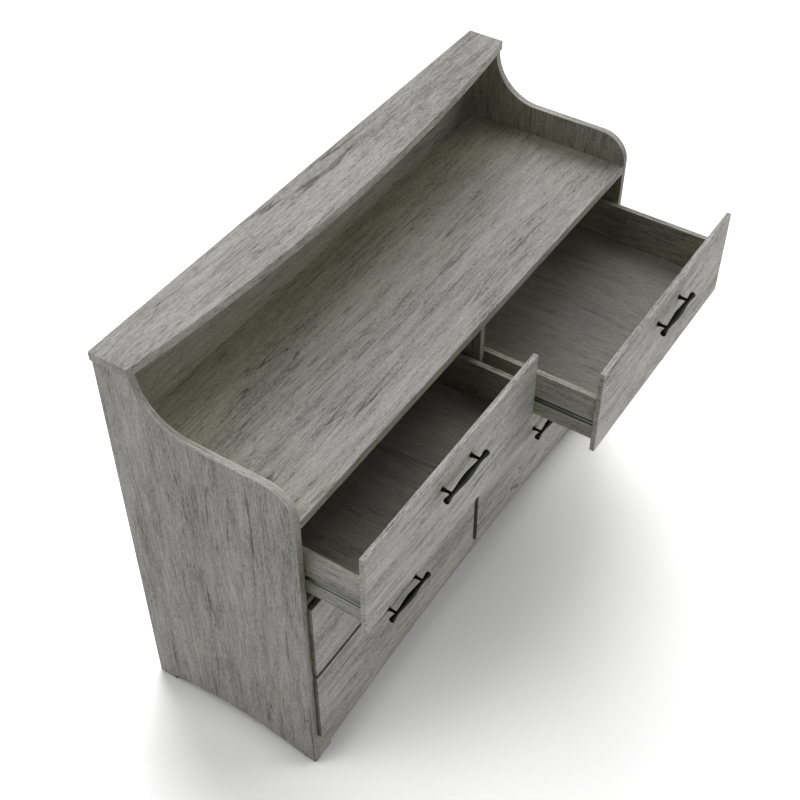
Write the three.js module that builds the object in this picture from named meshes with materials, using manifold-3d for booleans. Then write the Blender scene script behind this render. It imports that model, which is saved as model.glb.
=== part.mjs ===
// Dresser with hutch: six drawers in two columns under a desktop, with low side arms
// that sweep up to a bow-fronted top shelf. Millimetres, X to the right, Y to the back,
// Z up. The origin is the middle of the rear plinth's underside.

import * as THREE from "three";
import { mergeVertices } from "three/addons/utils/BufferGeometryUtils.js";
import Module from "manifold-3d";

const wasm = await Module();
wasm.setup();

// Overall sizes
const dresserWidth = 1200;
const dresserDepth = 402;
const plinthHeight = 78.2;
const armRise = 67; // side arms above the desktop
const hutchRise = 170; // underside of the top shelf above the desktop

// Boards
const boardThickness = 15; // side panels, divider, bottom, mid boards, plinths, hutch back
const deskThickness = 19;
const shelfThickness = 19;
const hardboardThickness = 3;
const seam = 0.3; // hairline left between two boards that are joined

// Side panels
const hutchDepth = 80; // depth of the upright part under the top shelf
const armCornerRadius = 60;

// Feet: the arches under the side panels and the front plinth leave them standing
const frontFootDepth = 28.5;
const rearFootDepth = 41;
const frontFootStep = 4; // from the floor to the arch, at the foot
const rearFootStep = 11;
const sideArchRise = 29;
const plinthFootWidth = 38;
const plinthFootStep = 14.5;
const plinthArchRise = 45;

// Top shelf
const shelfEndOverhang = 5;
const shelfMiddleDepth = 124;
const shelfEndDepth = 82;

// Rear of the carcass
const backInset = 15; // rear edges of the boards, in from the side panels' rear edges

// Drawer fronts
const lowerRowNames = ["bottom", "middle"]; // rows under the mid board, from the floor up
const frontHeight = 204;
const frontThickness = 10;
const frontProud = 8; // how far a shut front stands out of the carcass
const frontReveal = 0.9; // gap to the plinth, the mid boards and the desktop
const rowGap = 11.2; // between the fronts of the two lower rows
const frontSideGap = 1;
const midBoardInset = 4;

// Drawer boxes
const boxLength = 350;
const boxHeight = 108;
const boxRise = 23.3; // underside of the box above the lower edge of its front
const boxSideThickness = 12;
const boxBackThickness = 12;
const boxClearance = 7.5; // between the box and the wall of its bay
const boxBottomThickness = 5;
const boxBottomRise = 12; // underside of the bottom above the lower edge of the sides
const dadoDepth = 5; // slot in the sides that holds the bottom
const frontDadoDepth = 4;

// Runners
const runnerLength = 300;
const runnerHeight = 17;
const runnerRise = 30.5; // above the underside of the box
const runnerDepth = 10;
const runnerGauge = 1.2;
const runnerSetback = 4; // behind the front edge of the carcass
const runnerClearance = 0.4;
const grooveDepth = 3.5;

// Handles
const postSpacing = 96;
const gripLength = 140;
const gripStandoff = 21; // from the front's face to the middle of the grip
const gripBellyRadius = 6.8;
const gripNeckRadius = 3.8;
const gripEndRadius = 6.1;
const gripEndRounding = 1.2;
const postFootRadius = 5.2;
const postNeckRadius = 3;
const postFootFlare = 12; // length over which the post's foot narrows
const handleDrop = 53.5; // from the front's upper edge

// How far the two top drawers stand open
const topLeftDrawn = 116;
const topRightDrawn = 244;

// Facets on the curves
const arcSteps = 14;
const archSteps = 20;
const bowSteps = 28;
const gripSides = 14;
const gripBellySteps = 8;
const gripEndSteps = 4;
const postSides = 10;
const postFlareSteps = 3;

// Planes that several boards share
const boardsBack = boardThickness / 2;
const carcassBack = boardsBack + backInset;
const carcassFront = carcassBack - dresserDepth;
const innerHalf = dresserWidth / 2 - boardThickness;
const bayWidth = innerHalf - boardThickness / 2;
const rowPitch = frontHeight + rowGap;
const lowestFront = plinthHeight + frontReveal;
const midBoardLow = lowestFront + lowerRowNames.length * rowPitch - rowGap + frontReveal;
const midBoardHigh = midBoardLow + boardThickness;
const topFrontLow = midBoardHigh + frontReveal;
const deskLow = topFrontLow + frontHeight + frontReveal;
const deskHigh = deskLow + deskThickness;
const armHigh = deskHigh + armRise;
const shelfLow = deskHigh + hutchRise;

// Finishes
function finish(colour, roughness, metalness) {
  return () => new THREE.MeshStandardMaterial({ color: colour, roughness, metalness });
}

const greyOak = finish(0x9b9a95, 0.62, 0);
const greyOakInside = finish(0x8d8c87, 0.66, 0);
const greyHardboard = finish(0xa3a29c, 0.75, 0);
const blackIron = finish(0x1b1b1b, 0.42, 0.6);
const zincSteel = finish(0x9fa6a4, 0.32, 0.9);

// Ways of shaping a piece
function named(name, geometry, material) {
  const piece = new THREE.Mesh(geometry, material());
  piece.name = name;
  return piece;
}

function board(name, material, [left, right], [front, back], [low, high]) {
  const geometry = new THREE.BoxGeometry(right - left, back - front, high - low);
  const piece = named(name, geometry, material);
  piece.position.set((left + right) / 2, (front + back) / 2, (low + high) / 2);
  return piece;
}

function outlineOf(points) {
  return new THREE.Shape(points.map(([u, v]) => new THREE.Vector2(u, v)));
}

function extruded(shape, length, steps) {
  return new THREE.ExtrudeGeometry(shape, {
    depth: length,
    bevelEnabled: false,
    curveSegments: steps,
  });
}

// An outline of [x, z] points, drawn out along Y
function drawnAlongY(points, length) {
  const geometry = extruded(outlineOf(points.map(([x, z]) => [z, x])), length, arcSteps);
  const turn = new THREE.Matrix4().makeBasis(
    new THREE.Vector3(0, 0, 1),
    new THREE.Vector3(1, 0, 0),
    new THREE.Vector3(0, 1, 0),
  );
  return geometry.applyMatrix4(turn);
}

// A shape in [y, z], drawn out along X
function drawnAlongX(shape, length) {
  const turn = new THREE.Matrix4().makeBasis(
    new THREE.Vector3(0, 1, 0),
    new THREE.Vector3(0, 0, 1),
    new THREE.Vector3(1, 0, 0),
  );
  return extruded(shape, length, arcSteps).applyMatrix4(turn);
}

function solidOf(geometry) {
  const bare = geometry.clone();
  bare.deleteAttribute("normal");
  bare.deleteAttribute("uv");
  const merged = mergeVertices(bare);
  const mesh = new wasm.Mesh({
    numProp: 3,
    vertProperties: new Float32Array(merged.attributes.position.array),
    triVerts: new Uint32Array(merged.index.array),
  });
  return new wasm.Manifold(mesh);
}

function geometryOf(solid) {
  const mesh = solid.getMesh();
  const geometry = new THREE.BufferGeometry();
  const places = new THREE.BufferAttribute(new Float32Array(mesh.vertProperties), 3);
  geometry.setAttribute("position", places);
  geometry.setIndex(new THREE.BufferAttribute(new Uint32Array(mesh.triVerts), 1));
  geometry.computeVertexNormals();
  return geometry;
}

// A flat arch from one foot to the next, as [along, up] points. It springs from the feet
// at its own height on each side and rises to its crown between them.
function archPoints([from, to], [fromStep, toStep], rise) {
  const fromDrop = Math.sqrt(rise - fromStep);
  const toDrop = Math.sqrt(rise - toStep);
  const points = [];
  for (let step = 0; step <= archSteps; step += 1) {
    const share = step / archSteps;
    const drop = share * (fromDrop + toDrop) - fromDrop;
    points.push([from + share * (to - from), rise - drop * drop]);
  }
  return points;
}

// Side panel: one board from the floor to the shelf. Its top falls from the shelf in a
// hollow quarter round, runs level as an arm and ends in a rounded front corner. Its
// lower edge is cut to a flat arch between a front and a rear foot.
function sidePanelShape() {
  const sweepRadius = shelfLow - seam - armHigh;
  const uprightFront = carcassBack - hutchDepth;
  const shape = new THREE.Shape();
  const footSpan = [carcassFront + frontFootDepth, carcassBack - rearFootDepth];
  shape.moveTo(carcassFront, 0);
  shape.lineTo(footSpan[0], 0);
  for (const [y, z] of archPoints(footSpan, [frontFootStep, rearFootStep], sideArchRise)) {
    shape.lineTo(y, z);
  }
  shape.lineTo(footSpan[1], 0);
  shape.lineTo(carcassBack, 0);
  shape.lineTo(carcassBack, shelfLow - seam);
  shape.lineTo(uprightFront, shelfLow - seam);
  shape.absarc(uprightFront - sweepRadius, shelfLow - seam, sweepRadius, 0, -Math.PI / 2, true);
  const cornerMiddle = [carcassFront + armCornerRadius, armHigh - armCornerRadius];
  shape.absarc(...cornerMiddle, armCornerRadius, Math.PI / 2, Math.PI, false);
  shape.closePath();
  return shape;
}

function sidePanel(name, left) {
  const piece = named(name, drawnAlongX(sidePanelShape(), boardThickness), greyOak);
  piece.position.x = left;
  return piece;
}

// Front plinth: a board on edge whose lower edge is cut to a flat arch between two feet
function frontPlinth() {
  const end = innerHalf - seam;
  const springing = innerHalf - plinthFootWidth;
  const steps = [plinthFootStep, plinthFootStep];
  const outline = [
    [-end, 0],
    [-springing, 0],
    ...archPoints([-springing, springing], steps, plinthArchRise),
    [springing, 0],
    [end, 0],
    [end, plinthHeight],
    [-end, plinthHeight],
  ];
  const piece = named("front_plinth", drawnAlongY(outline, boardThickness), greyOak);
  piece.position.y = carcassFront;
  return piece;
}

// Top shelf: overhangs both side panels, its front edge bowed out to the middle
function topShelf() {
  const halfLength = dresserWidth / 2 + shelfEndOverhang;
  const bow = shelfMiddleDepth - shelfEndDepth;
  const points = [
    [halfLength, carcassBack],
    [-halfLength, carcassBack],
  ];
  for (let step = 0; step <= bowSteps; step += 1) {
    const share = (2 * step) / bowSteps - 1;
    const depth = shelfEndDepth + bow * (1 - share * share);
    points.push([share * halfLength, carcassBack - depth]);
  }
  const shelf = named("top_shelf", extruded(outlineOf(points), shelfThickness, bowSteps), greyOak);
  shelf.position.z = shelfLow;
  return shelf;
}

function carcass() {
  const between = [-innerHalf + seam, innerHalf - seam];
  const leftBay = [-innerHalf + seam, -boardThickness / 2 - seam];
  const rightBay = [boardThickness / 2 + seam, innerHalf - seam];
  const bottomLow = plinthHeight - boardThickness;
  const behindPlinth = carcassFront + boardThickness + seam;
  const midBoardDepth = [carcassFront + midBoardInset, boardsBack];
  const midBoardSpan = [midBoardLow, midBoardHigh];
  const rearBoardDepth = [boardsBack - boardThickness, boardsBack];
  const group = new THREE.Group();
  group.add(
    sidePanel("left_side_panel", -dresserWidth / 2),
    sidePanel("right_side_panel", innerHalf),
    frontPlinth(),
    board("rear_plinth", greyOak, between, rearBoardDepth, [0, bottomLow - seam]),
    board("bottom_board", greyOak, between, [behindPlinth, boardsBack], [bottomLow, plinthHeight]),
    board(
      "centre_divider",
      greyOak,
      [-boardThickness / 2, boardThickness / 2],
      [carcassFront, boardsBack],
      [plinthHeight + seam, deskLow - seam],
    ),
    board("left_mid_board", greyOak, leftBay, midBoardDepth, midBoardSpan),
    board("right_mid_board", greyOak, rightBay, midBoardDepth, midBoardSpan),
    board("desktop", greyOak, between, [carcassFront, boardsBack], [deskLow, deskHigh]),
    board(
      "hutch_back_board",
      greyOak,
      between,
      rearBoardDepth,
      [deskHigh + seam, shelfLow - seam],
    ),
    board(
      "back_panel",
      greyHardboard,
      between,
      [boardsBack + seam, boardsBack + seam + hardboardThickness],
      [bottomLow, deskHigh],
    ),
    topShelf(),
  );
  return group;
}

// Runner: a steel channel screwed to the wall of the bay. Its open side faces the drawer
// and its two lips run in the groove of the box's side. wallSide is -1 where the wall is
// to the left of the box and 1 where it is to the right.
function runner(name, wallSide, wallX, low) {
  const high = low + runnerHeight;
  const outer = -wallSide * runnerDepth;
  const web = -wallSide * runnerGauge;
  const outline = [
    [0, low],
    [outer, low],
    [outer, low + runnerGauge],
    [web, low + runnerGauge],
    [web, high - runnerGauge],
    [outer, high - runnerGauge],
    [outer, high],
    [0, high],
  ];
  const piece = named(name, drawnAlongY(outline, runnerLength), zincSteel);
  piece.position.set(wallX - wallSide * seam, carcassFront + runnerSetback, 0);
  return piece;
}

// Drawer side: a board with the runner's groove in its outer face and the slot for the
// bottom in its inner face. outward is -1 on the left side of the box and 1 on the right.
function drawerSide(name, outward) {
  const outer = outward * (bayWidth / 2 - boxClearance);
  const inner = outer - outward * boxSideThickness;
  const grooveX = outer - outward * grooveDepth;
  const slotX = inner + outward * dadoDepth;
  const grooveLow = runnerRise - runnerClearance;
  const grooveHigh = runnerRise + runnerHeight + runnerClearance;
  const slotLow = boxBottomRise - seam;
  const slotHigh = boxBottomRise + boxBottomThickness + seam;
  const outline = [
    [inner, 0],
    [outer, 0],
    [outer, grooveLow],
    [grooveX, grooveLow],
    [grooveX, grooveHigh],
    [outer, grooveHigh],
    [outer, boxHeight],
    [inner, boxHeight],
    [inner, slotHigh],
    [slotX, slotHigh],
    [slotX, slotLow],
    [inner, slotLow],
  ];
  const piece = named(name, drawnAlongY(outline, boxLength), greyOakInside);
  piece.position.set(0, frontThickness + seam, boxRise);
  return piece;
}

// Drawer front: a board with the slot for the bottom across its rear face
function drawerFront(name) {
  const halfWidth = bayWidth / 2 - frontSideGap;
  const slotHalf = bayWidth / 2 - boxClearance - boxSideThickness + dadoDepth;
  const slotLow = boxRise + boxBottomRise - seam;
  const slotHigh = boxRise + boxBottomRise + boxBottomThickness + seam;
  const plate = board(name, greyOak, [-halfWidth, halfWidth], [0, frontThickness], [0, frontHeight]);
  const slot = board(
    "slot",
    greyOak,
    [-slotHalf, slotHalf],
    [frontThickness - frontDadoDepth, frontThickness + frontDadoDepth],
    [slotLow, slotHigh],
  );
  plate.updateMatrix();
  slot.updateMatrix();
  const plateSolid = solidOf(plate.geometry.applyMatrix4(plate.matrix));
  const slotSolid = solidOf(slot.geometry.applyMatrix4(slot.matrix));
  return named(name, geometryOf(plateSolid.subtract(slotSolid)), greyOak);
}

// Eases from 0 to 1 as the share runs from 0 to 1
function eased(share) {
  return (1 - Math.cos(Math.PI * share)) / 2;
}

// Grip: a turned bar with a full belly, a neck over each post and a flared, flat end
function gripProfile() {
  const neckAt = postSpacing / 2;
  const endAt = gripLength / 2;
  const half = [];
  for (let step = 0; step < gripBellySteps; step += 1) {
    const share = step / gripBellySteps;
    const narrowing = (gripBellyRadius - gripNeckRadius) * eased(share);
    half.push([gripBellyRadius - narrowing, share * neckAt]);
  }
  for (let step = 0; step <= gripEndSteps; step += 1) {
    const share = step / gripEndSteps;
    const flare = (gripEndRadius - gripNeckRadius) * eased(share);
    half.push([gripNeckRadius + flare, neckAt + share * (endAt - gripEndRounding - neckAt)]);
  }
  half.push([gripEndRadius - gripEndRounding, endAt], [0, endAt]);
  const mirrored = half.slice(1).reverse();
  const whole = [...mirrored.map(([radius, along]) => [radius, -along]), ...half];
  return whole.map(([radius, along]) => new THREE.Vector2(radius, along));
}

// Post: a foot that narrows into a round neck, from the front's face to the grip
function postProfile() {
  const points = [new THREE.Vector2(0, 0)];
  for (let step = 0; step <= postFlareSteps; step += 1) {
    const share = step / postFlareSteps;
    const left = (1 - share) ** 2;
    const radius = postNeckRadius + (postFootRadius - postNeckRadius) * left;
    points.push(new THREE.Vector2(radius, share * postFootFlare));
  }
  points.push(new THREE.Vector2(postNeckRadius, gripStandoff));
  points.push(new THREE.Vector2(0, gripStandoff));
  return points;
}

function handleGeometry() {
  const grip = new THREE.LatheGeometry(gripProfile(), gripSides);
  grip.rotateZ(-Math.PI / 2);
  grip.translate(0, -gripStandoff, 0);
  let whole = solidOf(grip);
  for (const side of [-1, 1]) {
    const post = new THREE.LatheGeometry(postProfile(), postSides);
    post.rotateX(Math.PI);
    post.translate((side * postSpacing) / 2, 0, 0);
    whole = whole.add(solidOf(post));
  }
  return geometryOf(whole);
}

function drawerHandle(name) {
  const piece = named(name, handleGeometry(), blackIron);
  piece.position.set(0, -seam, frontHeight - handleDrop);
  return piece;
}

// Drawer: its group stands at the middle of the front's lower edge
function drawer(name) {
  const innerWidth = bayWidth - 2 * (boxClearance + boxSideThickness);
  const bottomHalf = innerWidth / 2 + dadoDepth - seam;
  const backHalf = innerWidth / 2 - seam;
  const bottomLow = boxRise + boxBottomRise;
  const bottomHigh = bottomLow + boxBottomThickness;
  const boxFront = frontThickness + seam;
  const boxBack = boxFront + boxLength;
  const group = new THREE.Group();
  group.add(
    drawerFront(`${name}_drawer_front`),
    drawerSide(`${name}_drawer_left_side`, -1),
    drawerSide(`${name}_drawer_right_side`, 1),
    board(
      `${name}_drawer_back`,
      greyOakInside,
      [-backHalf, backHalf],
      [boxBack - boxBackThickness, boxBack],
      [bottomHigh + seam, boxRise + boxHeight],
    ),
    board(
      `${name}_drawer_bottom`,
      greyOakInside,
      [-bottomHalf, bottomHalf],
      [frontThickness - frontDadoDepth + seam, boxBack],
      [bottomLow, bottomHigh],
    ),
    drawerHandle(`${name}_drawer_handle`),
  );
  return group;
}

const rows = lowerRowNames.map((name, index) => ({
  name,
  low: lowestFront + index * rowPitch,
  drawn: [0, 0],
}));
rows.push({
  name: "top",
  low: topFrontLow,
  drawn: [topLeftDrawn, topRightDrawn],
});

const dresser = new THREE.Group();
dresser.add(carcass());
for (const row of rows) {
  for (const [column, side] of [-1, 1].entries()) {
    const name = `${row.name}_${side < 0 ? "left" : "right"}`;
    const bayMiddle = (side * (boardThickness + bayWidth)) / 2;
    const unit = drawer(name);
    unit.position.set(bayMiddle, carcassFront - frontProud - row.drawn[column], row.low);
    const runnerLow = row.low + boxRise + runnerRise;
    dresser.add(
      unit,
      runner(`${name}_runner_left`, -1, bayMiddle - bayWidth / 2, runnerLow),
      runner(`${name}_runner_right`, 1, bayMiddle + bayWidth / 2, runnerLow),
    );
  }
}

export default dresser;
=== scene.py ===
import math

import bmesh
import bpy
from mathutils import Matrix, Vector


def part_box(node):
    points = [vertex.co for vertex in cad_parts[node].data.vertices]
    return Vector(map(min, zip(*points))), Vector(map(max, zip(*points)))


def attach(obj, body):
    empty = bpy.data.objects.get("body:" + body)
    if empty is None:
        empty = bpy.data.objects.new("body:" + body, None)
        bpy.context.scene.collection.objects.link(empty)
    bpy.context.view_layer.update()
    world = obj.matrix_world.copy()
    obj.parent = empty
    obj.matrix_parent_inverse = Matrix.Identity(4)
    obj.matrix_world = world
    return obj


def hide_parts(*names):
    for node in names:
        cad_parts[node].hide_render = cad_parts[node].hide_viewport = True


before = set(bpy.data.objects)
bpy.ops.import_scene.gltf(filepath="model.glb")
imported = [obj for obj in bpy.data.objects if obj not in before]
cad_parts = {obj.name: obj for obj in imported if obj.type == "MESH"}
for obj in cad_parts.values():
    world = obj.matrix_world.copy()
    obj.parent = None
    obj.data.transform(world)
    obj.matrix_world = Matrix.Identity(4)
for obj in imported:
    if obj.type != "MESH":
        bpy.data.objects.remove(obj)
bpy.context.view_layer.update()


# The photographer's place
# The dresser is seen from high above its left front corner, with a long lens,
# so that the desktop, the left side panel and the drawer fronts all show.
EYE = Vector((-1.6669, -1.2832, 2.4309))
SIGHT_LINE = Vector((0.58901, 0.38601, -0.70998))
CAMERA_ROLL = math.radians(-0.1525)
LENS_MM = 60.587
FILM_WIDTH_MM = 36

camera_data = bpy.data.cameras.new("studio_camera")
camera_data.lens = LENS_MM
camera_data.sensor_width = FILM_WIDTH_MM
camera = bpy.data.objects.new("studio_camera", camera_data)
bpy.context.scene.collection.objects.link(camera)
aim = SIGHT_LINE.to_track_quat("-Z", "Y").to_matrix().to_4x4()
camera.matrix_world = Matrix.Translation(EYE) @ aim @ Matrix.Rotation(CAMERA_ROLL, 4, "Z")
bpy.context.scene.camera = camera


# Side panels
# One 15 mm particle board each, from the floor to the top shelf, faced with a grey-washed
# oak print whose grain stands upright. The edge is routed to its sweep and then banded
# with a strip of the same print. The foot is cut to a flat arch, and left as cut.
ARM_TOP = 0.806
CORNER_RADIUS = 0.060
UPRIGHT_DEPTH = 0.080
BAND_THICKNESS = 0.0008
BAND_ARRIS = 0.0004
STRIP_SHIFT = 7  # sets the left strip's grain apart from the right one's
CORNER_STEPS = 40
SWEEP_STEPS = 56
FRONT_FOOT_DEPTH = 0.0285
FRONT_FOOT_STEP = 0.004
REAR_FOOT_DEPTH = 0.041
REAR_FOOT_STEP = 0.011
ARCH_RISE = 0.029
ARCH_STEPS = 48

PRINT_LIGHT = (0.430, 0.424, 0.398)
PRINT_MIDDLE = (0.303, 0.298, 0.279)
PRINT_SHADE = (0.178, 0.175, 0.162)
PRINT_PORE = (0.078, 0.076, 0.068)
# Painted shade: a warm, darker tint laid on the print where other boards shut out the light.
SHELTERED = (1.01, 0.97, 0.77)
SHELTER_FADE = (0.30, 0.12)  # heights between which the tint of sheltered places fades out
# How far the painted shade in narrow gaps reaches.
NOOK_REACH = 0.020
GRAIN_WANDER = 0.030
KNOT_LENGTH = 0.62
KNOT_WIDTH = 0.26
KNOT_SWELL = 0.030
RUBBED_WIDTH = 0.0012
RELIEF_DEPTH = 0.0003

# Length along the grain, width across it, detail, roughness and strength of each layer.
SOFT_MARKS = [
    (0.45, 0.100, 2.0, 0.50, 0.60),
    (0.16, 0.020, 2.0, 0.55, 0.60),
    (0.046, 0.0058, 2.0, 0.55, 0.60),
    (0.080, 0.0018, 2.0, 0.50, 0.60),
]
FIBRES = (0.010, 0.0019, 2.0, 0.60)
FIBRE_STRENGTH = 1.05
SPECKS = (0.003, 0.0012, 1.0, 0.50)
SPECK_STRENGTH = 0.40


def add_node(tree, kind, inputs=None, **settings):
    node = tree.nodes.new(kind)
    for key, value in settings.items():
        setattr(node, key, value)
    for key, value in (inputs or {}).items():
        if isinstance(value, bpy.types.NodeSocket):
            tree.links.new(value, node.inputs[key])
        else:
            node.inputs[key].default_value = value
    return node


def math_node(tree, operation, first, second=None, third=None):
    values = {0: first, 1: second, 2: third}
    inputs = {key: value for key, value in values.items() if value is not None}
    return add_node(tree, "ShaderNodeMath", inputs, operation=operation).outputs[0]


def ramp_node(tree, factor, stops):
    node = add_node(tree, "ShaderNodeValToRGB", {"Fac": factor})
    ramp = node.color_ramp
    while len(ramp.elements) < len(stops):
        ramp.elements.new(0.5)
    for element, (place, colour) in zip(ramp.elements, stops):
        element.position = place
        element.color = (*colour, 1)
    return node.outputs["Color"]


def spread(tree, value, low, high, to_low=0.0, to_high=1.0):
    """Maps a value from one span to another, and holds it at the ends."""
    inputs = {"Value": value, "From Min": low, "From Max": high, "To Min": to_low, "To Max": to_high}
    return add_node(tree, "ShaderNodeMapRange", inputs).outputs["Result"]


def board_place(tree, grain, thickness):
    """Metres along the grain, across it and through the board, shifted from board to board."""
    place = add_node(tree, "ShaderNodeTexCoord").outputs["Object"]
    parts = add_node(tree, "ShaderNodeSeparateXYZ", {0: place})
    cross = ({"X", "Y", "Z"} - {grain, thickness}).pop()
    shift = add_node(tree, "ShaderNodeObjectInfo").outputs["Random"]
    along = math_node(tree, "MULTIPLY_ADD", shift, 9.7, parts.outputs[grain])
    across = math_node(tree, "MULTIPLY_ADD", shift, 5.3, parts.outputs[cross])
    return along, across, parts.outputs[thickness]


def band_place(tree):
    """The same three distances on an edge band, which carries them from where it was laid."""
    place = add_node(tree, "ShaderNodeAttribute", attribute_name="laid_place").outputs["Vector"]
    parts = add_node(tree, "ShaderNodeSeparateXYZ", {0: place})
    return parts.outputs[0], parts.outputs[1], parts.outputs[2]


def grain_noise(tree, place, length, width, detail=2.0, roughness=0.5):
    """Cloudy marks of about this length along the grain and this width across it."""
    along, across, through = place
    inputs = {
        0: math_node(tree, "MULTIPLY", along, 1 / length),
        1: math_node(tree, "MULTIPLY", across, 1 / width),
        2: math_node(tree, "MULTIPLY", through, 1 / width),
    }
    vector = add_node(tree, "ShaderNodeCombineXYZ", inputs).outputs[0]
    inputs = {"Vector": vector, "Scale": 1.0, "Detail": detail, "Roughness": roughness}
    return add_node(tree, "ShaderNodeTexNoise", inputs).outputs["Fac"]


def toned(tree, tone, noise, strength):
    """Adds a noise, whose middle is a half, to the tone of the print."""
    return math_node(tree, "MULTIPLY_ADD", math_node(tree, "SUBTRACT", noise, 0.5), strength, tone)


def knots(tree, place):
    """Nearness to the few knots: wide for the grain that runs round them, small for their hearts."""
    along, across, through = place
    inputs = {
        0: math_node(tree, "MULTIPLY", along, 1 / KNOT_LENGTH),
        1: math_node(tree, "MULTIPLY", across, 1 / KNOT_WIDTH),
        2: math_node(tree, "MULTIPLY", through, 1 / KNOT_WIDTH),
    }
    vector = add_node(tree, "ShaderNodeCombineXYZ", inputs).outputs[0]
    far = add_node(tree, "ShaderNodeTexVoronoi", {"Vector": vector, "Scale": 1.0}).outputs["Distance"]
    return spread(tree, far, 0.20, 0.0), spread(tree, far, 0.055, 0.025)


def hair_cracks(tree, place):
    """Thin long lines where a stretched noise crosses set levels, in some areas only."""
    level = math_node(tree, "PINGPONG", grain_noise(tree, place, 1.10, 0.048, 1.0, 0.35), 0.050)
    line = spread(tree, level, 0.0070, 0.0025)
    area = spread(tree, grain_noise(tree, place, 0.22, 0.026, 1.0), 0.52, 0.60)
    return math_node(tree, "MULTIPLY", line, area)


def oak_print(
    name, place_of, lightness=1.0, contrast=1.0, shelter=0.24, tint=SHELTERED, front_edge=1.0, nook=1.0
):
    """Grey-washed oak on melamine: soft bands, short fibres, fine cracks, faint rings and knots.

    It takes a warm, darker tint as painted shade where other boards shut out the light, and is
    darkened by the amounts given, as painted shade, on faces that look to the front and in narrow gaps.
    """
    material = bpy.data.materials.new(name)
    material.use_nodes = True
    tree = material.node_tree
    along, across, through = place_of(tree)
    wander = grain_noise(tree, (along, across, through), 1.10, 0.30, 1.0)
    across = math_node(tree, "MULTIPLY_ADD", wander, GRAIN_WANDER, across)
    round_knot, heart = knots(tree, (along, across, through))
    place = (along, across, math_node(tree, "MULTIPLY_ADD", round_knot, KNOT_SWELL, through))
    tone = 0.5
    for *layer, strength in SOFT_MARKS:
        tone = toned(tree, tone, grain_noise(tree, place, *layer), strength)
    fibres = grain_noise(tree, place, *FIBRES)
    tone = toned(tree, tone, fibres, FIBRE_STRENGTH)
    tone = toned(tree, tone, grain_noise(tree, place, *SPECKS), SPECK_STRENGTH)
    sparse = spread(tree, grain_noise(tree, place, 0.12, 0.03, 1.0), 0.46, 0.60)
    pores = spread(tree, grain_noise(tree, place, 0.026, 0.0020, 1.0, 0.5), 0.59, 0.68)
    pores = math_node(tree, "MULTIPLY", pores, sparse)
    cracks = math_node(tree, "MAXIMUM", pores, hair_cracks(tree, place))
    tone = math_node(tree, "MULTIPLY_ADD", cracks, -0.34, tone)
    tone = math_node(tree, "MULTIPLY_ADD", heart, -0.30, tone)
    rounded = add_node(tree, "ShaderNodeBevel", {"Radius": RUBBED_WIDTH}, samples=4).outputs["Normal"]
    true_normal = add_node(tree, "ShaderNodeNewGeometry").outputs["Normal"]
    facing = add_node(tree, "ShaderNodeSeparateXYZ", {0: true_normal}).outputs["Y"]
    turned = add_node(tree, "ShaderNodeVectorMath", {0: rounded, 1: true_normal}, operation="DOT_PRODUCT")
    rubbed = spread(tree, turned.outputs["Value"], 0.98, 0.80)
    tone = math_node(tree, "MULTIPLY_ADD", tone, contrast, 0.5 - 0.5 * contrast)
    tone = math_node(tree, "MULTIPLY_ADD", rubbed, 0.16, tone)
    shades = zip((0.0, 0.22, 0.5, 0.9), (PRINT_PORE, PRINT_SHADE, PRINT_MIDDLE, PRINT_LIGHT))
    stops = [(at, [channel * lightness for channel in shade]) for at, shade in shades]
    relief = math_node(tree, "MULTIPLY_ADD", cracks, -1.0, math_node(tree, "MULTIPLY", fibres, 0.8))
    inputs = {"Strength": 0.30, "Distance": RELIEF_DEPTH, "Height": relief}
    bump = add_node(tree, "ShaderNodeBump", inputs)
    # Painted shade: where ambient occlusion finds other boards close by, the print takes the warm, darker
    # tint, faded out towards the floor.
    reach = add_node(tree, "ShaderNodeAmbientOcclusion", {"Distance": shelter}, samples=6).outputs["AO"]
    stand = add_node(tree, "ShaderNodeNewGeometry").outputs["Position"]
    height = add_node(tree, "ShaderNodeSeparateXYZ", {0: stand}).outputs["Z"]
    reach = math_node(tree, "MAXIMUM", reach, spread(tree, height, *SHELTER_FADE))
    browned = ramp_node(tree, reach, [(0.40, tint), (1.0, (1.0, 1.0, 1.0))])
    inputs = {0: ramp_node(tree, tone, stops), 1: browned}
    colour = add_node(tree, "ShaderNodeVectorMath", inputs, operation="MULTIPLY").outputs["Vector"]
    # Painted shade: faces that look to the front are darkened by the amount given.
    inputs = {0: colour, "Scale": spread(tree, facing, -0.75, -0.98, 1.0, front_edge)}
    colour = add_node(tree, "ShaderNodeVectorMath", inputs, operation="SCALE").outputs["Vector"]
    # Painted shade: narrow gaps, found by ambient occlusion, are darkened by the amount given.
    if nook < 1:
        inputs = {"Distance": NOOK_REACH}
        near = add_node(tree, "ShaderNodeAmbientOcclusion", inputs, samples=6).outputs["AO"]
        inputs = {0: colour, "Scale": spread(tree, near, 0.45, 0.90, nook, 1.0)}
        colour = add_node(tree, "ShaderNodeVectorMath", inputs, operation="SCALE").outputs["Vector"]
    surface = tree.nodes["Principled BSDF"]
    tree.links.new(colour, surface.inputs["Base Color"])
    tree.links.new(spread(tree, tone, 0.2, 0.9, 0.66, 0.54), surface.inputs["Roughness"])
    tree.links.new(bump.outputs["Normal"], surface.inputs["Normal"])
    surface.inputs["Specular IOR Level"].default_value = 0.20
    return material


def board_print(name, grain, thickness, **finish):
    return oak_print(name, lambda tree: board_place(tree, grain, thickness), **finish)


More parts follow.
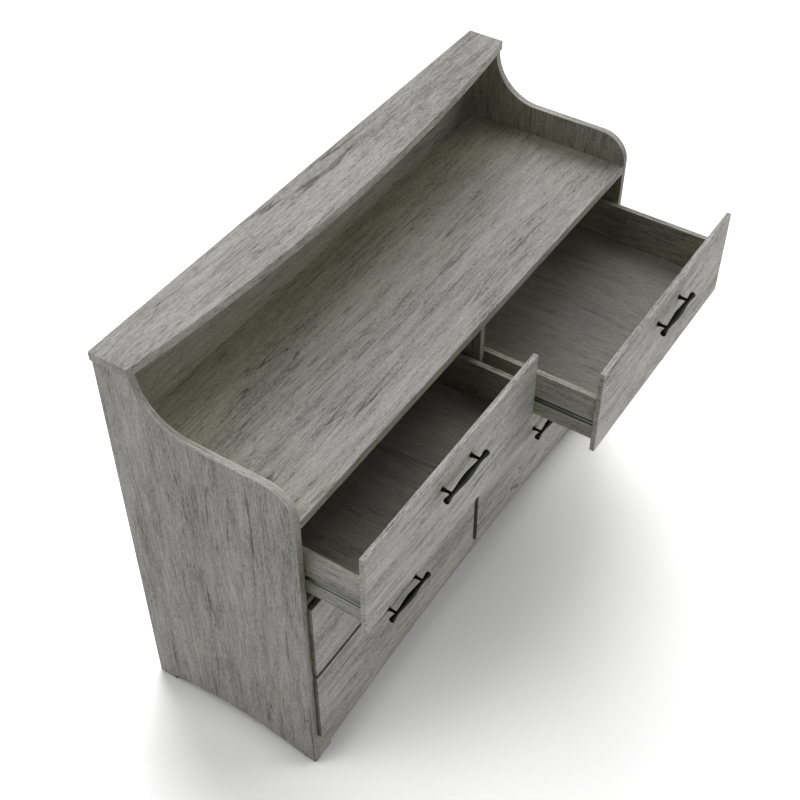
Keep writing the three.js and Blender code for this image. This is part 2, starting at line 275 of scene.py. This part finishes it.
def loft(rings):
    """A closed skin through rings of points, all with as many points, capped at both ends."""
    shell = bmesh.new()
    rows = [[shell.verts.new(point) for point in ring] for ring in rings]
    for row, following in zip(rows, rows[1:]):
        for index, corner in enumerate(row):
            ahead = (index + 1) % len(row)
            shell.faces.new((corner, row[ahead], following[ahead], following[index]))
    shell.faces.new(rows[0][::-1])
    shell.faces.new(rows[-1])
    bmesh.ops.recalc_face_normals(shell, faces=shell.faces)
    mesh = bpy.data.meshes.new("loft")
    shell.to_mesh(mesh)
    shell.free()
    return mesh


def add_piece(name, mesh, material, body, smooth=False):
    mesh.name = name
    mesh.materials.append(material)
    for face in mesh.polygons:
        face.use_smooth = smooth
    piece = bpy.data.objects.new(name, mesh)
    bpy.context.scene.collection.objects.link(piece)
    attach(piece, body)
    return piece


panel_low, panel_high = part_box("left_side_panel")


def panel_edge(inset):
    """[y, z] points up the front edge, over the arm and up the sweep, drawn in by the inset."""
    front, back, top = panel_low.y, panel_high.y, panel_high.z
    upright_front = back - UPRIGHT_DEPTH
    sweep_radius = top - ARM_TOP
    points = [(front + inset, panel_low.z)]
    for step in range(CORNER_STEPS + 1):
        turn = math.pi - math.pi / 2 * step / CORNER_STEPS
        reach = CORNER_RADIUS - inset
        middle = (front + CORNER_RADIUS, ARM_TOP - CORNER_RADIUS)
        points.append((middle[0] + reach * math.cos(turn), middle[1] + reach * math.sin(turn)))
    for step in range(SWEEP_STEPS + 1):
        turn = -math.pi / 2 + math.pi / 2 * step / SWEEP_STEPS
        reach = sweep_radius + inset
        middle = (upright_front - sweep_radius, top)
        points.append((middle[0] + reach * math.cos(turn), middle[1] + reach * math.sin(turn)))
    return points


def panel_arch():
    """[y, z] points of the flat arch, from the rear foot to the front one."""
    front, back = panel_low.y + FRONT_FOOT_DEPTH, panel_high.y - REAR_FOOT_DEPTH
    front_drop = math.sqrt(ARCH_RISE - FRONT_FOOT_STEP)
    back_drop = math.sqrt(ARCH_RISE - REAR_FOOT_STEP)
    points = [(back, panel_low.z)]
    for step in range(ARCH_STEPS + 1):
        share = 1 - step / ARCH_STEPS
        drop = share * (front_drop + back_drop) - front_drop
        points.append((front + share * (back - front), ARCH_RISE - drop * drop))
    return points + [(front, panel_low.z)]


def panel_core(left, right):
    outline = panel_edge(BAND_THICKNESS)
    outline += [(panel_high.y, panel_high.z), (panel_high.y, panel_low.z)] + panel_arch()
    return loft([[(x, y, z) for y, z in outline] for x in (left, right)])


def panel_band(left, right):
    """The strip, its two outer arrises scraped off, with each point's place on the laid strip."""
    outer, inner = panel_edge(0), panel_edge(BAND_THICKNESS)
    rings, laid, run = [], [], 0.0
    for index, (out_point, in_point) in enumerate(zip(outer, inner)):
        if index:
            run += math.dist(out_point, outer[index - 1])
        eased = BAND_ARRIS / BAND_THICKNESS
        shoulder = [o + (i - o) * eased for o, i in zip(out_point, in_point)]
        section = [
            (left, in_point),
            (left, shoulder),
            (left + BAND_ARRIS, out_point),
            (right - BAND_ARRIS, out_point),
            (right, shoulder),
            (right, in_point),
        ]
        rings.append([(x, y, z) for x, (y, z) in section])
        laid += [(run + left * STRIP_SHIFT, x - left, 0.0) for x, _ in section]
    mesh = loft(rings)
    places = mesh.attributes.new("laid_place", "FLOAT_VECTOR", "POINT")
    places.data.foreach_set("vector", [value for place in laid for value in place])
    return mesh


oak_upright = board_print("grey_oak_upright", "Z", "X", lightness=0.97, front_edge=0.80)
oak_band = oak_print("grey_oak_edge_band", band_place, lightness=1.10, front_edge=0.70, nook=0.60)
for side in ("left", "right"):
    side_low, side_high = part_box(f"{side}_side_panel")
    core = panel_core(side_low.x, side_high.x)
    board = add_piece(f"{side}_panel_board", core, oak_upright, "carcass")
    strip = panel_band(side_low.x, side_high.x)
    band = add_piece(f"{side}_panel_edge_band", strip, oak_band, "carcass", True)
    band.modifiers.new("shading", "WEIGHTED_NORMAL").keep_sharp = False
    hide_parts(f"{side}_side_panel")


# Plinths, bottom board, divider and mid boards
# Plain 15 mm boards between the side panels, pinned with dowels and drawn up with cam
# fittings. Their edges are banded at the front only.
BOARD_ARRIS = 0.0006
ARRIS_STEPS = 2
SHARP_CORNER = math.radians(40)
WELD_REACH = 0.00001


def ease_edges(piece, width):
    """Breaks the sharp edges, as sanding and a film's fold do, and keeps the flats flat."""
    bevel = piece.modifiers.new("arris", "BEVEL")
    bevel.width = width
    bevel.segments = ARRIS_STEPS
    bevel.limit_method = "ANGLE"
    bevel.angle_limit = SHARP_CORNER
    shading = piece.modifiers.new("shading", "WEIGHTED_NORMAL")
    shading.keep_sharp = False


def dress_node(node_name, material, arris=BOARD_ARRIS):
    """Gives a piece of the frame its finish and its eased edges."""
    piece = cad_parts[node_name]
    piece.data.materials.clear()
    piece.data.materials.append(material)
    weld = piece.modifiers.new("weld", "WELD")
    weld.merge_threshold = WELD_REACH
    ease_edges(piece, arris)


oak_lying = board_print("grey_oak_lying", "X", "Z", front_edge=0.42, nook=0.60)
oak_facing = board_print("grey_oak_facing", "X", "Y", shelter=0.04)
for node_name in ("front_plinth", "rear_plinth"):
    dress_node(node_name, oak_facing)
for node_name in ("bottom_board", "left_mid_board", "right_mid_board"):
    dress_node(node_name, oak_lying)
dress_node("centre_divider", oak_upright)


# Desktop
# A 19 mm board between the side panels, above the top row, of the same printed particle
# board. Its grain runs along its length, and only its front edge is banded.
dress_node("desktop", board_print("grey_oak_desktop", "X", "Z", lightness=0.94, front_edge=0.76))


# Hutch
# A back board that stands on the desktop and a 19 mm shelf with a bowed front edge, laid
# over the side panels' tops.
SHELF_ARRIS = 0.0008

# The back board's print is painted darker, at 0.60, as painted shade under the shelf.
dress_node("hutch_back_board", board_print("grey_oak_hutch_back", "X", "Y", lightness=0.60))
dress_node("top_shelf", board_print("grey_oak_shelf", "X", "Z", lightness=0.94), SHELF_ARRIS)


# Back panel
# Printed 3 mm hardboard, pinned to the rear edges of the carcass with small round-headed
# nails every 150 mm or so.
HARDBOARD_ARRIS = 0.0002
NAIL_HEAD_RADIUS = 0.0022
NAIL_HEAD_RISE = 0.0011
NAIL_HEAD_SIDES = 16
NAIL_HEAD_PROFILE = [(1.0, 0.0), (1.0, 0.35), (0.82, 0.70), (0.50, 0.93), (0.16, 1.0)]
NAIL_INSET = 0.006
NAILS_ACROSS = 9
NAILS_UP = 6


def hardboard():
    material = bpy.data.materials.new("printed_hardboard")
    material.use_nodes = True
    tree = material.node_tree
    place = add_node(tree, "ShaderNodeTexCoord").outputs["Object"]
    inputs = {"Vector": place, "Scale": 9.0, "Detail": 4.0, "Roughness": 0.6}
    mottle = add_node(tree, "ShaderNodeTexNoise", inputs).outputs["Fac"]
    inputs = {"Vector": place, "Scale": 900.0, "Detail": 2.0, "Roughness": 0.6}
    pulp = add_node(tree, "ShaderNodeTexNoise", inputs).outputs["Fac"]
    tone = math_node(tree, "MULTIPLY_ADD", mottle, 0.6, math_node(tree, "MULTIPLY", pulp, 0.4))
    shades = [(0.3, (0.245, 0.238, 0.215)), (0.7, (0.352, 0.344, 0.316))]
    bump = add_node(tree, "ShaderNodeBump", {"Strength": 0.35, "Distance": 0.0002, "Height": pulp})
    surface = tree.nodes["Principled BSDF"]
    tree.links.new(ramp_node(tree, tone, shades), surface.inputs["Base Color"])
    tree.links.new(spread(tree, mottle, 0.3, 0.7, 0.82, 0.70), surface.inputs["Roughness"])
    tree.links.new(bump.outputs["Normal"], surface.inputs["Normal"])
    surface.inputs["Specular IOR Level"].default_value = 0.25
    return material


def bright_steel(name, shades, roughness, metallic=1.0):
    """Zinc-plated steel, drawn along Y, with a faint cloud in the plating."""
    material = bpy.data.materials.new(name)
    material.use_nodes = True
    tree = material.node_tree
    place = add_node(tree, "ShaderNodeTexCoord").outputs["Object"]
    parts = add_node(tree, "ShaderNodeSeparateXYZ", {0: place})
    place = (parts.outputs["Y"], parts.outputs["Z"], parts.outputs["X"])
    lines = grain_noise(tree, place, 0.05, 0.0004, 3.0, 0.6)
    cloud = grain_noise(tree, place, 0.03, 0.012, 3.0, 0.6)
    tone = math_node(tree, "MULTIPLY_ADD", lines, 0.5, math_node(tree, "MULTIPLY", cloud, 0.5))
    bump = add_node(tree, "ShaderNodeBump", {"Strength": 0.2, "Distance": 0.0001, "Height": lines})
    surface = tree.nodes["Principled BSDF"]
    colour = ramp_node(tree, tone, [(0.35, shades[0]), (0.65, shades[1])])
    dullness = spread(tree, tone, 0.35, 0.65, roughness - 0.06, roughness + 0.06)
    tree.links.new(colour, surface.inputs["Base Color"])
    tree.links.new(dullness, surface.inputs["Roughness"])
    tree.links.new(bump.outputs["Normal"], surface.inputs["Normal"])
    surface.inputs["Metallic"].default_value = metallic
    return material


def circle(middle, radius, count, axis="Y"):
    """Points round a middle, in the plane square to the axis."""
    points = []
    for index in range(count):
        turn = 2 * math.pi * index / count
        u, v = radius * math.cos(turn), radius * math.sin(turn)
        offset = {"X": (0, u, v), "Y": (u, 0, v)}[axis]
        points.append(tuple(m + o for m, o in zip(middle, offset)))
    return points


def nail_heads(places):
    """One mesh of low domed heads that stand off the rear face."""
    whole = bmesh.new()
    for place in places:
        rings = []
        for reach, rise in NAIL_HEAD_PROFILE:
            middle = (place[0], place[1] + NAIL_HEAD_RISE * rise, place[2])
            rings.append(circle(middle, NAIL_HEAD_RADIUS * reach, NAIL_HEAD_SIDES))
        head = loft(rings)
        whole.from_mesh(head)
        bpy.data.meshes.remove(head)
    mesh = bpy.data.meshes.new("nails")
    whole.to_mesh(mesh)
    whole.free()
    return mesh


dress_node("back_panel", hardboard(), HARDBOARD_ARRIS)
back_low, back_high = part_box("back_panel")
nail_steel = bright_steel("nail_steel", [(0.30, 0.30, 0.29), (0.48, 0.48, 0.46)], 0.38)
nail_places = []
for column in range(NAILS_ACROSS):
    share = column / (NAILS_ACROSS - 1)
    x = back_low.x + NAIL_INSET + share * (back_high.x - back_low.x - 2 * NAIL_INSET)
    nail_places += [(x, back_high.y, back_low.z + NAIL_INSET), (x, back_high.y, back_high.z - NAIL_INSET)]
for row in range(1, NAILS_UP):
    share = row / NAILS_UP
    z = back_low.z + NAIL_INSET + share * (back_high.z - back_low.z - 2 * NAIL_INSET)
    nail_places += [(x, back_high.y, z) for x in (back_low.x + NAIL_INSET, 0.0, back_high.x - NAIL_INSET)]
add_piece("back_panel_nails", nail_heads(nail_places), nail_steel, "carcass", True)


# Drawer boxes
# Sides and backs of 12 mm board, grain from front to back, and a 5 mm printed bottom let
# into a slot. The front is a 10 mm board, banded all round.
BOX_FLOOR_ARRIS = 0.0003

oak_front = board_print(
    "grey_oak_front", "X", "Y", lightness=1.10, contrast=1.12, shelter=0.04, nook=0.40
)
oak_box_side = board_print("grey_oak_box_side", "Y", "X", lightness=0.94)
oak_box_back = board_print("grey_oak_box_back", "X", "Y", lightness=0.80)
# The drawer bottoms take a milder tint of painted shade.
oak_box_floor = board_print(
    "grey_oak_box_floor", "Y", "Z", lightness=0.67, contrast=0.55, tint=(1.0, 0.985, 0.87)
)
DRAWERS = [f"{row}_{column}" for row in ("top", "middle", "bottom") for column in ("left", "right")]
for drawer in DRAWERS:
    for side in ("left", "right"):
        dress_node(f"{drawer}_drawer_{side}_side", oak_box_side)
    dress_node(f"{drawer}_drawer_back", oak_box_back)
    dress_node(f"{drawer}_drawer_bottom", oak_box_floor, BOX_FLOOR_ARRIS)
    dress_node(f"{drawer}_drawer_front", oak_front)


# Runners
# On each wall of a bay a channel of 1.2 mm zinc-plated steel. In the groove of the drawer's
# side a ball track is screwed flat, greased and painted near black as painted shade in the
# groove, with the rail's narrow back standing out along it and a pale, dull flange lying on
# the groove's lower ledge.
CHANNEL_ARRIS = 0.0002
TRACK_HEIGHT = 0.0132
TRACK_THICKNESS = 0.0004
RAIL_HEIGHT = 0.0032
RAIL_RISE = -0.0005
RAIL_STANDING = 0.0007
RAIL_ARRIS = 0.0003
FLANGE_GAUGE = 0.0003
FLANGE_REACH = 0.0032
RAIL_LENGTH = 0.335
RAIL_SETBACK = 0.004
GROOVE_DEPTH = 0.0035
RUNNER_CLEARANCE = 0.0004

runner_steel = bright_steel("runner_steel", [(0.34, 0.37, 0.355), (0.56, 0.60, 0.58)], 0.36)
# Pale zinc, made paler as painted light on the groove's lower ledge.
flange_steel = bright_steel("flange_steel", [(0.57, 0.59, 0.55), (0.70, 0.72, 0.67)], 0.50, 0.15)
rail_steel = bright_steel("rail_steel", [(0.15, 0.172, 0.155), (0.22, 0.245, 0.225)], 0.36)
# Painted shade: the track is near black, partly grease and partly the shade deep in the groove.
track_steel = bright_steel("greased_track_steel", [(0.026, 0.037, 0.030), (0.048, 0.064, 0.054)], 0.42)


def drawn_strip(outline, front):
    """A strip of one section, [x, z], along the drawer's side."""
    return loft([[(x, y, z) for x, z in outline] for y in (front, front + RAIL_LENGTH)])


def track_section(seat, outward, height):
    face = seat + outward * TRACK_THICKNESS
    low, high = height - TRACK_HEIGHT / 2, height + TRACK_HEIGHT / 2
    return [(seat, low), (face, low), (face, high), (seat, high)]


def rail_section(seat, outward, height):
    foot = seat + outward * TRACK_THICKNESS
    crown = foot + outward * RAIL_STANDING
    shoulder = crown - outward * RAIL_ARRIS
    low, high = height + RAIL_RISE - RAIL_HEIGHT / 2, height + RAIL_RISE + RAIL_HEIGHT / 2
    upper = [(shoulder, high), (foot, high)]
    return [(foot, low), (shoulder, low), (crown, low + RAIL_ARRIS), (crown, high - RAIL_ARRIS)] + upper


def flange_section(seat, outward, ledge):
    back, edge = seat + outward * TRACK_THICKNESS, seat + outward * FLANGE_REACH
    return [(back, ledge), (edge, ledge), (edge, ledge + FLANGE_GAUGE), (back, ledge + FLANGE_GAUGE)]


for drawer in DRAWERS:
    for side, outward in (("left", -1), ("right", 1)):
        dress_node(f"{drawer}_runner_{side}", runner_steel, CHANNEL_ARRIS)
        side_low, side_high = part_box(f"{drawer}_drawer_{side}_side")
        runner_low, runner_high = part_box(f"{drawer}_runner_{side}")
        outer_face = side_low.x if outward < 0 else side_high.x
        seat = outer_face - outward * GROOVE_DEPTH
        height = (runner_low.z + runner_high.z) / 2
        front = side_low.y + RAIL_SETBACK
        ledge = runner_low.z - RUNNER_CLEARANCE
        flange = drawn_strip(flange_section(seat, outward, ledge), front)
        add_piece(f"{drawer}_rail_flange_{side}", flange, flange_steel, f"{drawer}_drawer")
        track = drawn_strip(track_section(seat, outward, height), front)
        add_piece(f"{drawer}_ball_track_{side}", track, track_steel, f"{drawer}_drawer")
        strip = drawn_strip(rail_section(seat, outward, height), front)
        add_piece(f"{drawer}_rail_{side}", strip, rail_steel, f"{drawer}_drawer")


# Handles
# A bar turned with a full belly, a neck over each post and trumpet ends, on two flared
# posts. Cast, then powder coated black, and screwed on from inside the front. The coat
# is painted lighter grey on faces that look to the front, as a painted reflection of the
# pale floor.
POST_SPACING = 0.096
GRIP_LENGTH = 0.140
GRIP_STANDOFF = 0.0208
BELLY_RADIUS = 0.0068
NECK_RADIUS = 0.0038
END_RADIUS = 0.0061
END_ROUNDING = 0.0012
POST_FOOT_RADIUS = 0.0052
POST_NECK_RADIUS = 0.0030
POST_FLARE = 0.012
GRIP_SIDES = 48
GRIP_BELLY_STEPS = 24
GRIP_END_STEPS = 12
END_ROUNDING_STEPS = 4
POST_SIDES = 40
POST_FLARE_STEPS = 12
SCREW_RADIUS = 0.0042
SCREW_RISE = 0.0023
SCREW_STEPS = 6
SCREW_FULLNESS = 0.6
SLOT_HALF_WIDTH = 0.0005
SLOT_REACH = 0.0022
SLOT_DEPTH = 0.0012


def black_coat():
    material = bpy.data.materials.new("black_powder_coat")
    material.use_nodes = True
    tree = material.node_tree
    place = add_node(tree, "ShaderNodeTexCoord").outputs["Object"]
    inputs = {"Vector": place, "Scale": 1100.0, "Detail": 2.0, "Roughness": 0.5}
    pebble = add_node(tree, "ShaderNodeTexNoise", inputs).outputs["Fac"]
    inputs = {"Vector": place, "Scale": 60.0, "Detail": 3.0, "Roughness": 0.6}
    handled = add_node(tree, "ShaderNodeTexNoise", inputs).outputs["Fac"]
    # Painted reflection: faces that look to the front take the lighter grey instead of the black.
    fresh = ramp_node(tree, handled, [(0.3, (0.0028, 0.0028, 0.0022)), (0.7, (0.0050, 0.0050, 0.0040))])
    rubbed = ramp_node(tree, handled, [(0.3, (0.024, 0.028, 0.021)), (0.7, (0.035, 0.040, 0.031))])
    facing = add_node(tree, "ShaderNodeNewGeometry").outputs["Normal"]
    forward = add_node(tree, "ShaderNodeSeparateXYZ", {0: facing}).outputs["Y"]
    inputs = {0: spread(tree, forward, -0.35, -0.70), 6: fresh, 7: rubbed}
    coat = add_node(tree, "ShaderNodeMix", inputs, data_type="RGBA")
    bump = add_node(tree, "ShaderNodeBump", {"Strength": 0.25, "Distance": 0.0001, "Height": pebble})
    surface = tree.nodes["Principled BSDF"]
    tree.links.new(coat.outputs[2], surface.inputs["Base Color"])
    tree.links.new(spread(tree, handled, 0.3, 0.7, 0.58, 0.46), surface.inputs["Roughness"])
    tree.links.new(bump.outputs["Normal"], surface.inputs["Normal"])
    surface.inputs["Specular IOR Level"].default_value = 0.035
    return material


def eased(share):
    return (1 - math.cos(math.pi * share)) / 2


def grip_mesh():
    """The bar, turned about X, from one rounded end over both necks to the other."""
    neck_at, end_at = POST_SPACING / 2, GRIP_LENGTH / 2
    half = []
    for step in range(GRIP_BELLY_STEPS):
        share = step / GRIP_BELLY_STEPS
        half.append((share * neck_at, BELLY_RADIUS - (BELLY_RADIUS - NECK_RADIUS) * eased(share)))
    for step in range(GRIP_END_STEPS + 1):
        share = step / GRIP_END_STEPS
        along = neck_at + share * (end_at - END_ROUNDING - neck_at)
        half.append((along, NECK_RADIUS + (END_RADIUS - NECK_RADIUS) * eased(share)))
    for step in range(1, END_ROUNDING_STEPS + 1):
        turn = math.pi / 2 * step / END_ROUNDING_STEPS
        inward = END_ROUNDING * (1 - math.cos(turn))
        half.append((end_at - END_ROUNDING + END_ROUNDING * math.sin(turn), END_RADIUS - inward))
    profile = [(-along, radius) for along, radius in half[:0:-1]] + half
    return loft([circle((along, -GRIP_STANDOFF, 0), radius, GRIP_SIDES, "X") for along, radius in profile])


def post_mesh(across):
    """One flared post, from its foot on the front to inside the bar."""
    rings = []
    for step in range(POST_FLARE_STEPS + 1):
        share = step / POST_FLARE_STEPS
        radius = POST_NECK_RADIUS + (POST_FOOT_RADIUS - POST_NECK_RADIUS) * (1 - share) ** 2
        rings.append(circle((across, -share * POST_FLARE, 0), radius, POST_SIDES))
    rings.append(circle((across, -GRIP_STANDOFF, 0), POST_NECK_RADIUS, POST_SIDES))
    return loft(rings)


def joined(meshes):
    """The closed meshes made one by boolean union."""
    pieces = [bpy.data.objects.new("joining", mesh) for mesh in meshes]
    for piece in pieces:
        bpy.context.scene.collection.objects.link(piece)
    for other in pieces[1:]:
        union = pieces[0].modifiers.new("union", "BOOLEAN")
        union.operation = "UNION"
        union.object = other
    bpy.context.view_layer.update()
    whole = bpy.data.meshes.new_from_object(pieces[0].evaluated_get(bpy.context.evaluated_depsgraph_get()))
    for piece in pieces:
        mesh = piece.data
        bpy.data.objects.remove(piece)
        bpy.data.meshes.remove(mesh)
    return whole


def screw_mesh(across):
    """A pan head with a cross cut into it, seen from inside the drawer."""
    def cross(depth):
        points = []
        for index in range(POST_SIDES):
            turn = 2 * math.pi * index / POST_SIDES
            along, aside = abs(math.cos(turn)), abs(math.sin(turn))
            reach = min(SLOT_REACH, SLOT_HALF_WIDTH / max(min(along, aside), 0.05))
            points.append((across + reach * math.cos(turn), depth, reach * math.sin(turn)))
        return points

    rings = [circle((across, 0, 0), SCREW_RADIUS, POST_SIDES)]
    for step in range(1, SCREW_STEPS):
        turn = math.pi / 2 * step / SCREW_STEPS
        radius = SCREW_RADIUS * math.cos(turn) ** SCREW_FULLNESS
        rings.append(circle((across, SCREW_RISE * math.sin(turn), 0), radius, POST_SIDES))
    rings += [cross(SCREW_RISE), cross(SCREW_RISE - SLOT_DEPTH)]
    return loft(rings)


coat = black_coat()
screw_steel = bright_steel("screw_steel", [(0.36, 0.35, 0.32), (0.55, 0.54, 0.50)], 0.34)
handle_shape = joined([grip_mesh(), post_mesh(-POST_SPACING / 2), post_mesh(POST_SPACING / 2)])
for drawer in DRAWERS:
    handle_low, handle_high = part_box(f"{drawer}_drawer_handle")
    _, front_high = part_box(f"{drawer}_drawer_front")
    place = Vector(((handle_low.x + handle_high.x) / 2, handle_high.y, (handle_low.z + handle_high.z) / 2))
    shape = handle_shape.copy()
    shape.transform(Matrix.Translation(place))
    handle = add_piece(f"{drawer}_handle", shape, coat, f"{drawer}_drawer", True)
    sharp = handle.modifiers.new("shading", "WEIGHTED_NORMAL")
    sharp.keep_sharp = False
    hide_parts(f"{drawer}_drawer_handle")
    for side, across in (("left", -POST_SPACING / 2), ("right", POST_SPACING / 2)):
        head = screw_mesh(across)
        head.transform(Matrix.Translation((place.x, front_high.y, place.z)))
        add_piece(f"{drawer}_handle_screw_{side}", head, screw_steel, f"{drawer}_drawer")


# Floor and light
# A white studio floor that keeps the dresser's shadow, large soft lamps behind both rear
# corners, over the right end and low in front, and a white room beyond.
FLOOR_REACH = 12.0
FLOOR_PALENESS = 0.80
FLOOR_BURN = 1.40
CONTACT_REACH = 0.06
CONTACT_SHADE = 0.50
LAMP_WIDTH = math.radians(38)

# Name, azimuth, elevation and strength of each lamp.
LAMPS = [
    ("rear_right", 45, 35, 0.584),
    ("right_high", 0, 60, 0.297),
    ("front_right_low", 315, 12, 0.461),
    ("front_high", 270, 60, 0.076),
    ("front_left_low", 225, 12, 0.070),
    ("rear_left_low", 135, 12, 0.271),
    ("rear_left_high", 135, 60, 0.230),
]


def seen_rays(tree):
    """1 for what the lens and polished surfaces see, 0 for the light that falls on matt ones."""
    path = add_node(tree, "ShaderNodeLightPath")
    seen = math_node(tree, "MAXIMUM", path.outputs["Is Camera Ray"], path.outputs["Is Glossy Ray"])
    return math_node(tree, "MAXIMUM", seen, path.outputs["Is Transmission Ray"])


def studio_floor():
    mesh = bpy.data.meshes.new("studio_floor")
    corners = [(-FLOOR_REACH, -FLOOR_REACH, 0), (FLOOR_REACH, -FLOOR_REACH, 0)]
    corners += [(x, -y, 0) for x, y, _ in corners[::-1]]
    mesh.from_pydata(corners, [], [(0, 1, 2, 3)])
    floor = bpy.data.objects.new("studio_floor", mesh)
    bpy.context.scene.collection.objects.link(floor)
    material = bpy.data.materials.new("studio_floor")
    material.use_nodes = True
    tree = material.node_tree
    tree.nodes.clear()
    paleness = spread(tree, seen_rays(tree), 0.0, 1.0, FLOOR_PALENESS, FLOOR_BURN)
    # Painted contact shade: the floor is painted darker where ambient occlusion finds the dresser close
    # by.
    inputs = {"Distance": CONTACT_REACH}
    near = add_node(tree, "ShaderNodeAmbientOcclusion", inputs, samples=8).outputs["AO"]
    shade = spread(tree, near, 0.30, 0.95, CONTACT_SHADE, 1.0)
    paleness = math_node(tree, "MULTIPLY", paleness, shade)
    lit = add_node(tree, "ShaderNodeBsdfDiffuse", {"Color": paleness}).outputs[0]
    add_node(tree, "ShaderNodeOutputMaterial", {"Surface": lit})
    mesh.materials.append(material)


def studio_lamp(name, azimuth, elevation, strength):
    """A broad lamp far off. Azimuth 0 is to the right, 90 is behind the dresser."""
    lamp_data = bpy.data.lights.new(name, "SUN")
    lamp_data.energy = math.pi * strength
    lamp_data.angle = LAMP_WIDTH
    lamp = bpy.data.objects.new(name, lamp_data)
    bpy.context.scene.collection.objects.link(lamp)
    turn, rise = math.radians(azimuth), math.radians(elevation)
    toward = Vector((math.cos(turn) * math.cos(rise), math.sin(turn) * math.cos(rise), math.sin(rise)))
    lamp.rotation_euler = toward.to_track_quat("Z", "Y").to_euler()


studio_floor()
for lamp in LAMPS:
    studio_lamp(*lamp)
world = bpy.data.worlds.new("studio_room")
world.use_nodes = True
room = world.node_tree
room.nodes.clear()
walls = add_node(room, "ShaderNodeBackground", {"Color": (1, 1, 1, 1), "Strength": seen_rays(room)})
add_node(room, "ShaderNodeOutputWorld", {"Surface": walls.outputs[0]})
bpy.context.scene.world = world
bpy.context.scene.view_settings.view_transform = "Standard"
